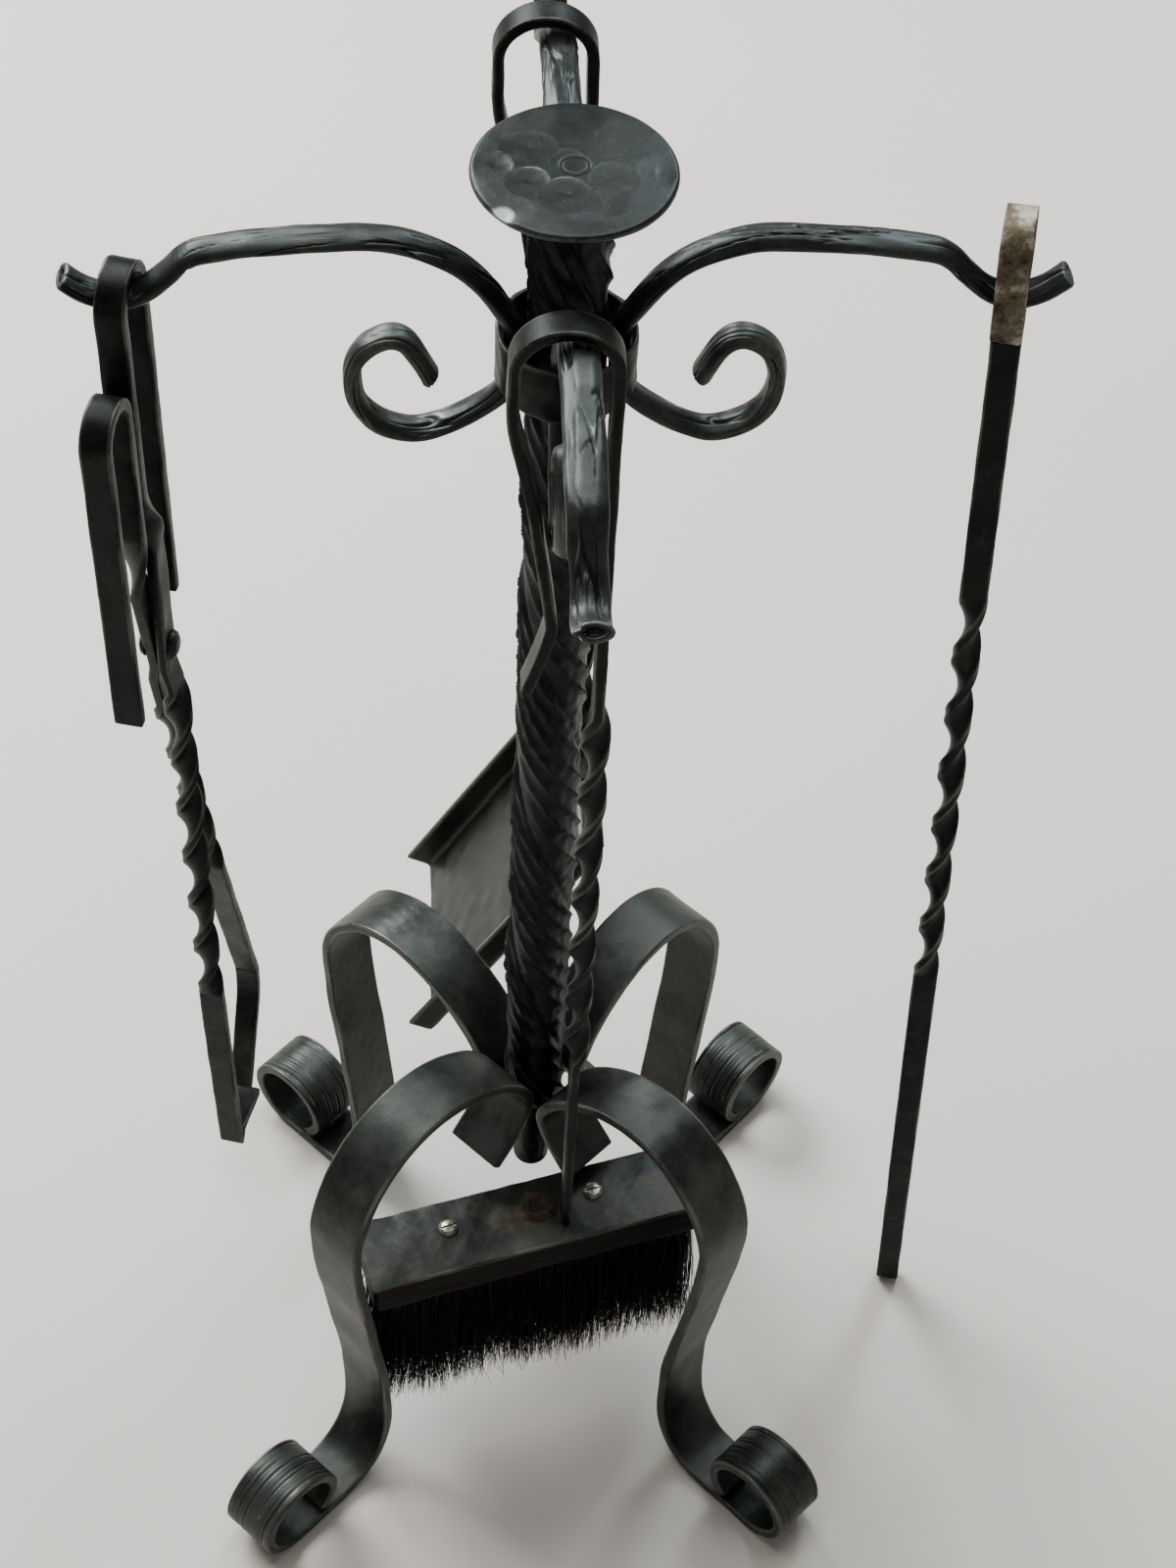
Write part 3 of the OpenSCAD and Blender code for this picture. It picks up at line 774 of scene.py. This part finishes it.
def make_leg(name, material, seed):
    """One leg: its strap and its coil, drawn in from the widest leg's route."""
    azimuth, shoulder, foot_share, arch = LEGS[name]
    route = smooth(LEG_ROUTE, 5)
    up = np.minimum(1, route[:, 1] / SHOULDER_Z)
    out = foot_share + (shoulder - foot_share) * up
    high = 1 + (arch - 1) * np.minimum(1, route[:, 1] / ARCH_Z)
    foot = LEG_IN + (COIL_R - LEG_IN) * foot_share
    leg = np.stack([LEG_IN + (route[:, 0] - LEG_IN) * out, route[:, 1] * high], -1)
    bar = Bar(np.vstack([leg, coil(foot)]), 1.4, 1.0).moved(spin("Z", azimuth))
    outline = strap_outline(LEG_W, LEG_T, 1.1, 56, 4)
    piece = forge(f"{name}_leg_strap", bar, outline, leg_relief(seed, bar.s[-1]))
    put_in(piece, f"leg_{name}", material)


# ---------------------------------------------------------------- tools

def teardrop_eye(stem):
    """An upside-down U whose free side comes in to the straight one and turns out again at its end."""
    r = EYE_R
    free = smooth([(-9, -158), (-2.2, -131), (-2.6, -117), (-9.4, -68), (-15.2, -38), (-r, -r - 6)], 6)
    return np.vstack([free, arc((0, -r), r, 180, 0), [(r, -stem)]])


def twist(top, half_turns, each):
    """A twist down a stem from a height, by half turns that are each so many mm long."""
    return lambda z: -180 * half_turns * np.clip((top - z) / (half_turns * each), 0, 1)


def strap_relief(seed):
    """A small strap, drawn by hammer: shallow planes along it."""
    def relief(w, t, s):
        planes = 0.09 * waves(w, t, s, (14, 5, 26), seed) + 0.03 * waves(w, t, s, (3, 2, 5), seed + 1)
        return planes - 0.06, 0 * planes
    return relief


TOOL_OUTLINE = strap_outline(STRAP_W, STRAP_T, 0.7, 8)
# Where the twist of the brush's and the shovel's handles begins below the eye, and its half turns' length
TWIST_TOP = -172
HALF_TURN = 30
# The shovel's lean, the length of its stem, and where its pan's back is under the eye and how it tilts
SHOVEL = at(SHOVEL_EYE) @ spin("Y", -1.4)
SHOVEL_STEM = 372.4
PAN_BACK = (25, 0, -381)
PAN_TILT = 30
# The turn of the poker's and the tongs' eyes about the upright
EYE_TURN = 76


def make_handle(tool, place, stem, half_turns, material, seed):
    """The brush's or the shovel's handle: a strap with a hairpin eye, a twist and a plain end."""
    bar = Bar(teardrop_eye(stem), 1.0, turn=twist(TWIST_TOP, half_turns, HALF_TURN)).moved(place)
    piece = forge(f"{tool}_handle_strap", bar, TOOL_OUTLINE, strap_relief(seed))
    put_in(piece, f"{tool}_handle", material)


def make_poker(material):
    """One strap: a rusty hook eye, a twist, a plain end and a prong folded back beside it."""
    lean, fold, prong, spread = (-0.6, -3.1), STRAP_T / 2 + 0.2, 239, 5
    top, half_turns, each = -177, 7, 32.4
    tip = (POKER_EYE[2] - 0.5) / math.cos(math.radians(lean[1])) - STRAP_T / 2
    r = SMALL_EYE_R
    route = np.vstack([
        [(-r, -41)], arc((0, -r), r, 180, 0), [(r, -tip + fold)],
        arc((r + fold, -tip + fold), fold, 180, 360, 12),
        [(r + 2 * fold, -tip + 60), (r + 2 * fold + spread, -tip + prong)],
    ])
    place = at(POKER_EYE) @ spin("Y", lean[1]) @ spin("X", lean[0]) @ spin("Z", EYE_TURN)
    bar = Bar(route, 1.0, 2.2, turn=twist(top, half_turns, each)).moved(place)
    rusty_to, fade = 69, 12
    rust = np.clip((rusty_to - bar.s) / fade, 0, 1)[:, None]
    piece = forge("poker_strap", bar, TOOL_OUTLINE, strap_relief(35), rust)
    put_in(piece, "poker", material)


TONGS = at(TONGS_EYE) @ spin("Z", EYE_TURN)
# How far each half lies to its own side at the rivet and where it is twisted, and where it moves out
HALF_Y = 0.15 + STRAP_T / 2
TWIST_Y = 4
PART_Z = RIVET_Z - 8
PARTED_Z = RIVET_Z - 22


def side_y(z):
    """How far a half lies to its own side, below its bend."""
    return HALF_Y + (TWIST_Y - HALF_Y) * ease((PART_Z - z) / (PART_Z - PARTED_Z))


def turn_into_twist(bend, drop, quarter, top, low, quarters):
    """A turn of quarter degrees over drop below bend, then a twist of quarter turns from top to low."""
    return lambda z: (quarter * np.clip((bend - z) / drop, 0, 1)
                      - 90 * quarters * np.clip((top - z) / (top - low), 0, 1))


def jaw_rust(bar, most, start, over):
    """Rust up to most on a jaw, from start mm before the bar's last end, coming in over so many mm."""
    return most * np.clip((bar.s - bar.s[-1] + start) / over, 0, 1)[:, None]


def make_tongs_half_a(material):
    """The half that hangs nearly upright, with its eye over the arm."""
    r, bend, drop, low = SMALL_EYE_R, -84, 34, -382
    t = np.linspace(0, 1, 14)
    sway = np.stack([-r * (1 - ease(t)), bend - drop * t], -1)
    route = np.vstack([
        [(r, -150)], arc((0, -r), r, 0, 180), sway, [(0, PARTED_Z), (3, low)],
        smooth([(3, low), (8.3, -495), (11.8, -498.5), (36, -505)], 2),
    ])
    turn = turn_into_twist(bend, drop, 90, PARTED_Z, low, 13)
    bar = Bar(route, 1.0, turn=turn, off=lambda z: -side_y(z) * ease((bend - z) / drop)).moved(TONGS)
    piece = forge("tongs_strap_a", bar, TOOL_OUTLINE, strap_relief(37), jaw_rust(bar, 0.42, 60, 60))
    put_in(piece, "tongs_half_a", material)


def make_tongs_half_b(material):
    """The half that crosses it at the rivet, bows out below and comes back to meet its foot."""
    slope, r, bend, drop, low = math.tan(math.radians(12.5)), SMALL_EYE_R, -100, 32, -346

    def on_shank(z):
        return (RIVET_Z - z) * slope, z

    def off_plane(z):
        return side_y(z) * np.clip((bend - z) / drop, 0, 1)

    middle = on_shank(bend)[0] - r
    bow = [(66.6, -449), (69.4, -460), (69.8, -471), (67, -483), (50, -518), (47, -522), (43, -524)]
    route = np.vstack([
        [(middle - r, -170)], arc((middle, -34 - r), r, 180, 0), [on_shank(bend), on_shank(low)],
        smooth([on_shank(low), *bow], 4),
    ])
    turn = turn_into_twist(bend, drop, -90, RIVET_Z - 40, low, 9)
    bar = Bar(route, 1.0, turn=turn, off=off_plane).moved(TONGS)
    piece = forge("tongs_strap_b", bar, TOOL_OUTLINE, strap_relief(39), jaw_rust(bar, 0.5, 130, 110))
    put_in(piece, "tongs_half_b", material)


# ---------------------------------------------------------------- brush head

HEAD = at((*BRUSH_CENTRE, 0)) @ spin("Z", BRUSH_TURN)


def head_bar(length, z, step, end):
    """A level bar along the brush head, with its middle line at a height."""
    return Bar([(-length / 2, z), (length / 2, z)], step, end).moved(HEAD)


def make_brush_plate(material):
    """Sheet, crowned along its middle, with a shallow dent beside the weld."""
    def relief(w, t, s):
        out = 0.10 * waves(w, t, s, 12, 41) + 0.05 * waves(w, t, s, 4, 42) - 0.05
        dent = 0.9 * ridge(s - 57, 5) * ridge(w - 5, 4.5) * (t > 0)
        return out - dent, 0 * out

    bar = head_bar(BRUSH_L, BRUSH_TOP - PLATE_T / 2, 1.2, 0.7)
    outline = strap_outline(BRUSH_W, PLATE_T, 0.6, 30)
    w, s = outline.w[None, :], bar.s[:, None]
    rise = 0.7
    crown = rise * (1 - (2 * w / BRUSH_W) ** 2) - rise / 2
    stain = 0.62 * ridge(s - 72, 17) * ridge(w - 2, 11) + 0.2 * waves(w, 0, s, 30, 45)
    piece = forge("brush_plate_crowned", bar, outline, relief, np.clip(stain, 0, 1), crown)
    put_in(piece, "brush_plate", material)


def make_brush_block(material):
    """The wooden block under the plate, a little smaller and worn round."""
    def relief(w, t, s):
        out = 0.12 * waves(w, t, s, (4, 4, 40), 43) + 0.2 * waves(w, t, s, 30, 44) - 0.3
        return out, 0 * out

    bar = head_bar(BRUSH_L - 2, BRUSH_TOP - PLATE_T - 0.6 - BLOCK_H / 2, 2.0, 1.6)
    outline = strap_outline(BRUSH_W - 1.5, BLOCK_H - 0.8, 1.5, 24, 14)
    put_in(forge("brush_block_wood", bar, outline, relief), "brush_block", material)


def make_weld(material):
    """A lumpy bead of weld at the foot of the brush's shaft."""
    radius, height = 9.4, 1.815
    centre = (BRUSH_EYE[0] + EYE_R - STRAP_T / 2 - radius, BRUSH_EYE[1] + 4)
    theta = full_turn(72)[None, :]
    share = np.linspace(0.03, 1, 26)[:, None]
    r = share * radius * (0.9 + 0.06 * np.sin(3 * theta + 2) + 0.04 * np.sin(7 * theta))
    x, y = r * np.cos(theta), r * np.sin(theta)
    lumps = 0.45 * waves(x, y, 0 * x, 5, 51) + 0.16 * waves(x, y, 0 * x, 2.2, 52)
    ring = 1.1 * ridge(share - 0.62, 0.16) - 0.9 * ridge(share, 0.3)
    z = BRUSH_TOP + (height + ring + lumps) * (1 - share**2) ** 0.8 + 0.05
    top = np.stack([centre[0] + x, centre[1] + y, z], -1)
    base = np.stack([centre[0] + x[-1:], centre[1] + y[-1:], 0 * x[-1:] + BRUSH_TOP - 0.4], -1)
    # Painted shade: the sunken middle of the bead is darkened through the mark.
    dark = np.concatenate([ridge(share, 0.34) + 0 * x, 0 * x[-1:]])
    piece = skin("brush_weld_bead", np.concatenate([top, base]), 0.2, 0.8 * dark, 0.55)
    put_in(piece, "brush_weld", material)


def make_bristles(material):
    """Separate hairs: each leaves the block, bends a little and ends at its own length."""
    count, joints, sides = 8800, 6, 3
    stray_share, widest, longest = 0.06, 8, BRISTLE_H + 6
    rng = np.random.default_rng(61)
    long, wide = BRUSH_L - 9, BRUSH_W - 8
    x = rng.uniform(-0.5, 0.5, count) * long
    y = rng.uniform(-0.5, 0.5, count) * wide
    out = np.stack([x / long * 2, y / wide * 2], -1)
    splay = 3.0 * out**3 + rng.normal(0, 2.1, (count, 2))
    stray = rng.random(count) < stray_share
    splay[stray] += rng.normal(0, 6.0, (stray.sum(), 2))
    splay = np.clip(splay, -widest, widest)
    length = BRISTLE_H - 1 + rng.normal(0, 2.4, count) + 2.0 * np.sin(x / 9) - 1.5 * np.abs(out[:, 1])
    length = np.minimum(length, longest)
    bend = rng.normal(0, 2.2, (count, 2))
    t = np.linspace(0, 1, joints)[None, :, None]
    root = np.stack([x, y], -1)[:, None, :]
    line = root + splay[:, None, :] * t**2 + bend[:, None, :] * np.sin(math.pi * t)
    top = BRUSH_TOP - PLATE_T - BLOCK_H + 0.8
    z = top - length[:, None, None] * t
    spine = np.concatenate([line, z + 0 * line[..., :1]], -1)
    radius = rng.uniform(0.16, 0.28, count)[:, None, None, None] * (1 - 0.65 * t[..., None])
    a = np.radians(120 * np.arange(sides))[None, None, :] + rng.uniform(0, 6, count)[:, None, None]
    around = np.stack([np.cos(a), np.sin(a), 0 * a], -1)
    points = carry((spine[:, :, None, :] + radius * around).reshape(-1, 3), HEAD) * MM
    first = (np.arange(count)[:, None, None] * joints + np.arange(joints - 1)[None, :, None]) * sides
    k = np.arange(sides)[None, None, :]
    j = (k + 1) % sides
    walls = np.stack([first + k, first + sides + k, first + sides + j, first + j], -1).reshape(-1, 4)
    base = np.arange(count)[:, None] * joints * sides
    tips = base + (joints - 1) * sides + np.array([0, 1, 2])
    roots = base + np.array([0, 2, 1])
    mesh = bpy.data.meshes.new("bristle_hairs")
    mesh.from_pydata(points.tolist(), [], walls.tolist() + tips.tolist() + roots.tolist())
    mesh.shade_smooth()
    put_in(add_object("bristle_hairs", mesh), "brush_bristles", material)


# ---------------------------------------------------------------- shovel pan

def fold_up(distance, radius):
    """How far along and how high a sheet is, at a distance past the start of a right-angled fold."""
    bend = radius * math.pi / 2
    a = np.clip(distance / radius, 0, math.pi / 2)
    along = np.where(distance < 0, distance, radius * np.sin(a))
    up = radius * (1 - np.cos(a)) + np.maximum(0, distance - bend)
    return along, up


def make_pan(material):
    """One sheet, cut with notched corners and folded up along both sides and the back."""
    radius, step = 2.6, 1.5
    flap = PAN_RIM - radius - PAN_T / 2 + radius * math.pi / 2
    u = np.arange(-flap, PAN_L - radius - PAN_T + step / 2, step)
    half = PAN_W / 2 - radius - PAN_T / 2
    v = np.linspace(-half - flap, half + flap, 2 * round((half + flap) / step) + 1)
    u, v = np.meshgrid(u, v, indexing="ij")
    back, back_up = fold_up(-u, radius)
    out, side_up = fold_up(np.abs(v) - half, radius)
    x = radius + PAN_T / 2 - back
    y = np.sign(v) * (half + out)
    sag = 0.5 * waves(x, y, 0 * x, 60, 71) + 0.18 * waves(x, y, 0 * x, 14, 72)
    z = PAN_T / 2 + np.maximum(back_up, side_up) + sag * (np.maximum(back_up, side_up) < 0.5)
    keep = ~((u < -1.0) & (np.abs(v) > half + 1.0))
    n, m = u.shape
    points = np.stack([x, y, z], -1).reshape(-1, 3)
    faces = [(i * m + k, (i + 1) * m + k, (i + 1) * m + k + 1, i * m + k + 1)
             for i in range(n - 1) for k in range(m - 1)
             if keep[i, k] and keep[i + 1, k] and keep[i, k + 1] and keep[i + 1, k + 1]]
    flip = Matrix.Diagonal((1, 1, -1, 1))
    place = SHOVEL @ at(PAN_BACK) @ spin("Y", 90 + PAN_TILT) @ flip
    mesh = bpy.data.meshes.new("pan_sheet")
    mesh.from_pydata((carry(points, place) * MM).tolist(), [], faces)
    rim = np.clip((np.maximum(back_up, side_up) - PAN_RIM + 3.6) / 1.5, 0, 1)
    add_marks(mesh, (n, m), worn=0.9 * rim)
    piece = make_object("pan_sheet", mesh)
    used = {index for face in faces for index in face}
    drop_vertices(mesh, [index for index in range(n * m) if index not in used])
    thicken = piece.modifiers.new("sheet", "SOLIDIFY")
    thicken.thickness = PAN_T * MM
    thicken.offset = 0
    apply_modifiers(piece)
    put_in(piece, "shovel_pan", material)


def drop_vertices(mesh, indices):
    """Takes unused points out of a mesh."""
    work = bmesh.new()
    work.from_mesh(mesh)
    work.verts.ensure_lookup_table()
    bmesh.ops.delete(work, geom=[work.verts[i] for i in indices], context="VERTS")
    work.to_mesh(mesh)
    work.free()


def apply_modifiers(obj):
    """Puts the result of an object's modifiers into its mesh."""
    bpy.context.view_layer.update()
    shaped = obj.evaluated_get(bpy.context.evaluated_depsgraph_get())
    mesh = bpy.data.meshes.new_from_object(shaped)
    obj.modifiers.clear()
    obj.data = mesh


# ---------------------------------------------------------------- stage

def area_light(name, place, aim, size, power, colour):
    """A rectangular light aimed at a point: places and size in metres, power in watts."""
    lamp = bpy.data.lights.new(name, "AREA")
    lamp.shape = "RECTANGLE"
    lamp.size, lamp.size_y = size
    lamp.energy = power
    lamp.color = colour
    obj = add_object(name, lamp)
    obj.location = place
    obj.rotation_euler = (Vector(aim) - Vector(place)).to_track_quat("-Z", "Y").to_euler()


def make_floor():
    """A round pale floor that curves up into a wall all round, so that no view meets a horizon. It lies a
    hair below the feet, so that their flat faces and its own don't fall together."""
    flat_r, floor_r, bend_r, wall_top, sides = 1.2, 3.0, 1.4, 3.8, 96
    gap = 0.0003
    bend = arc((floor_r, bend_r), bend_r, 270, 360, 16)
    profile = np.vstack([[(flat_r, 0)], bend, [(floor_r + bend_r, wall_top)]])
    rings = lathed(profile[:, :1], full_turn(sides)[None, :], profile[:, 1:])
    faces = [tuple(range(sides))]
    for ring in range(len(profile) - 1):
        for k in range(sides):
            here, beside = ring * sides + k, ring * sides + (k + 1) % sides
            faces.append((here, here + sides, beside + sides, beside))
    mesh = bpy.data.meshes.new("floor")
    mesh.from_pydata(rings.reshape(-1, 3).tolist(), [], faces)
    mesh.shade_smooth()
    mesh.materials.append(floor_paint())
    floor = add_object("floor", mesh)
    floor.location.z = -gap


def make_lights():
    """Soft light from behind on the left and from above, and a little fill from the front."""
    area_light("window", (-1.3, 1.7, 1.9), (0, 0, 0.35), (1.7, 1.2), 84, (0.97, 0.985, 1.0))
    area_light("glint", (0.85, 1.5, 1.85), (0, 0, 0.6), (0.5, 0.8), 15, (0.80, 0.90, 1.0))
    area_light("ceiling", (-0.1, 0.5, 2.5), (0, 0, 0), (1.8, 1.4), 30, (1.0, 0.99, 0.97))
    area_light("fill", (1.3, -1.9, 1.1), (0, 0, 0.3), (1.8, 1.4), 1.2, (1.0, 0.98, 0.95))
    world = bpy.data.worlds.new("room")
    world.use_nodes = True
    background = world.node_tree.nodes["Background"]
    background.inputs["Color"].default_value = (0.80, 0.82, 0.85, 1)
    background.inputs["Strength"].default_value = 0.20
    bpy.context.scene.world = world
    bpy.context.scene.view_settings.look = "AgX - Medium High Contrast"


def make_camera():
    """The camera looks down on the set from the front, a little from the left, and leans to one side."""
    pitch, yaw, roll = (math.radians(a) for a in (51.26, 5.49, 3.58))
    place = (-0.04937, -0.67144, 1.22445)
    ahead = Vector((math.sin(yaw) * math.cos(pitch), math.cos(yaw) * math.cos(pitch), -math.sin(pitch)))
    level = Vector((math.cos(yaw), -math.sin(yaw), 0))
    upright = level.cross(ahead)
    right = math.cos(roll) * level + math.sin(roll) * upright
    up = math.cos(roll) * upright - math.sin(roll) * level
    data = bpy.data.cameras.new("camera")
    data.sensor_width = 36
    data.lens = 66.93
    camera = add_object("camera", data)
    camera.matrix_world = at(place) @ Matrix((right, up, -ahead)).transposed().to_4x4()
    bpy.context.scene.camera = camera


# ---------------------------------------------------------------- build

make_camera()
make_floor()
make_lights()

# Each iron from its dark scale to its pale scale, then the colour of its worn corners and painted
# highlights, and its range of roughness
TOOL_WORN = (0.17, 0.165, 0.145)
post_iron = iron("post_iron", (0.007, 0.008, 0.009), (0.024, 0.028, 0.028), shine=(0.36, 0.52), pits=0.16)
bark_iron = iron("bark_iron", (0.022, 0.027, 0.026), (0.062, 0.071, 0.066), (0.32, 0.34, 0.32),
                 (0.33, 0.46), tarnish=BARE_IRON)
disc_iron = iron("disc_iron", (0.018, 0.023, 0.022), (0.034, 0.041, 0.038), (0.34, 0.37, 0.36),
                 (0.34, 0.42))
leg_iron = iron("leg_iron", (0.030, 0.035, 0.032), (0.078, 0.086, 0.078), shine=(0.34, 0.48), pits=0.1)
tool_iron = iron("tool_iron", (0.007, 0.008, 0.008), (0.022, 0.025, 0.024), TOOL_WORN, (0.36, 0.5),
                 tarnish=JAW_RUST, specular=0.32)
hook_iron = iron("hook_iron", (0.005, 0.006, 0.007), (0.015, 0.017, 0.017), TOOL_WORN, (0.32, 0.46),
                 tarnish=HOOK_RUST, specular=0.35)
sheet_iron = iron("sheet_iron", (0.030, 0.034, 0.031), (0.074, 0.077, 0.068), shine=(0.32, 0.5))
weld_iron = iron("weld_iron", (0.030, 0.024, 0.017), (0.070, 0.056, 0.040), shine=(0.42, 0.6), pits=0.2)

make_post(post_iron)
make_disc(disc_iron)
make_collar(tool_iron)
for number, arm in enumerate(ARMS):
    make_arm(arm, bark_iron, 100 + 10 * number)
for number, leg in enumerate(LEGS):
    make_leg(leg, leg_iron, 200 + 10 * number)
make_handle("brush", at(BRUSH_EYE), BRUSH_EYE[2] - BRUSH_TOP, 7, tool_iron, 31)
make_weld(weld_iron)
make_brush_plate(sheet_iron)
make_brush_block(wood())
make_bristles(hair())
make_handle("shovel", SHOVEL, SHOVEL_STEM, 6, tool_iron, 33)
make_pan(sheet_iron)
make_poker(hook_iron)
make_tongs_half_a(tool_iron)
make_tongs_half_b(tool_iron)

for node, material in (("brush_screws", screw_metal()), ("tongs_rivet", disc_iron)):
    shown = frame["nodes"][node]
    shown.data.materials.clear()
    shown.data.materials.append(material)
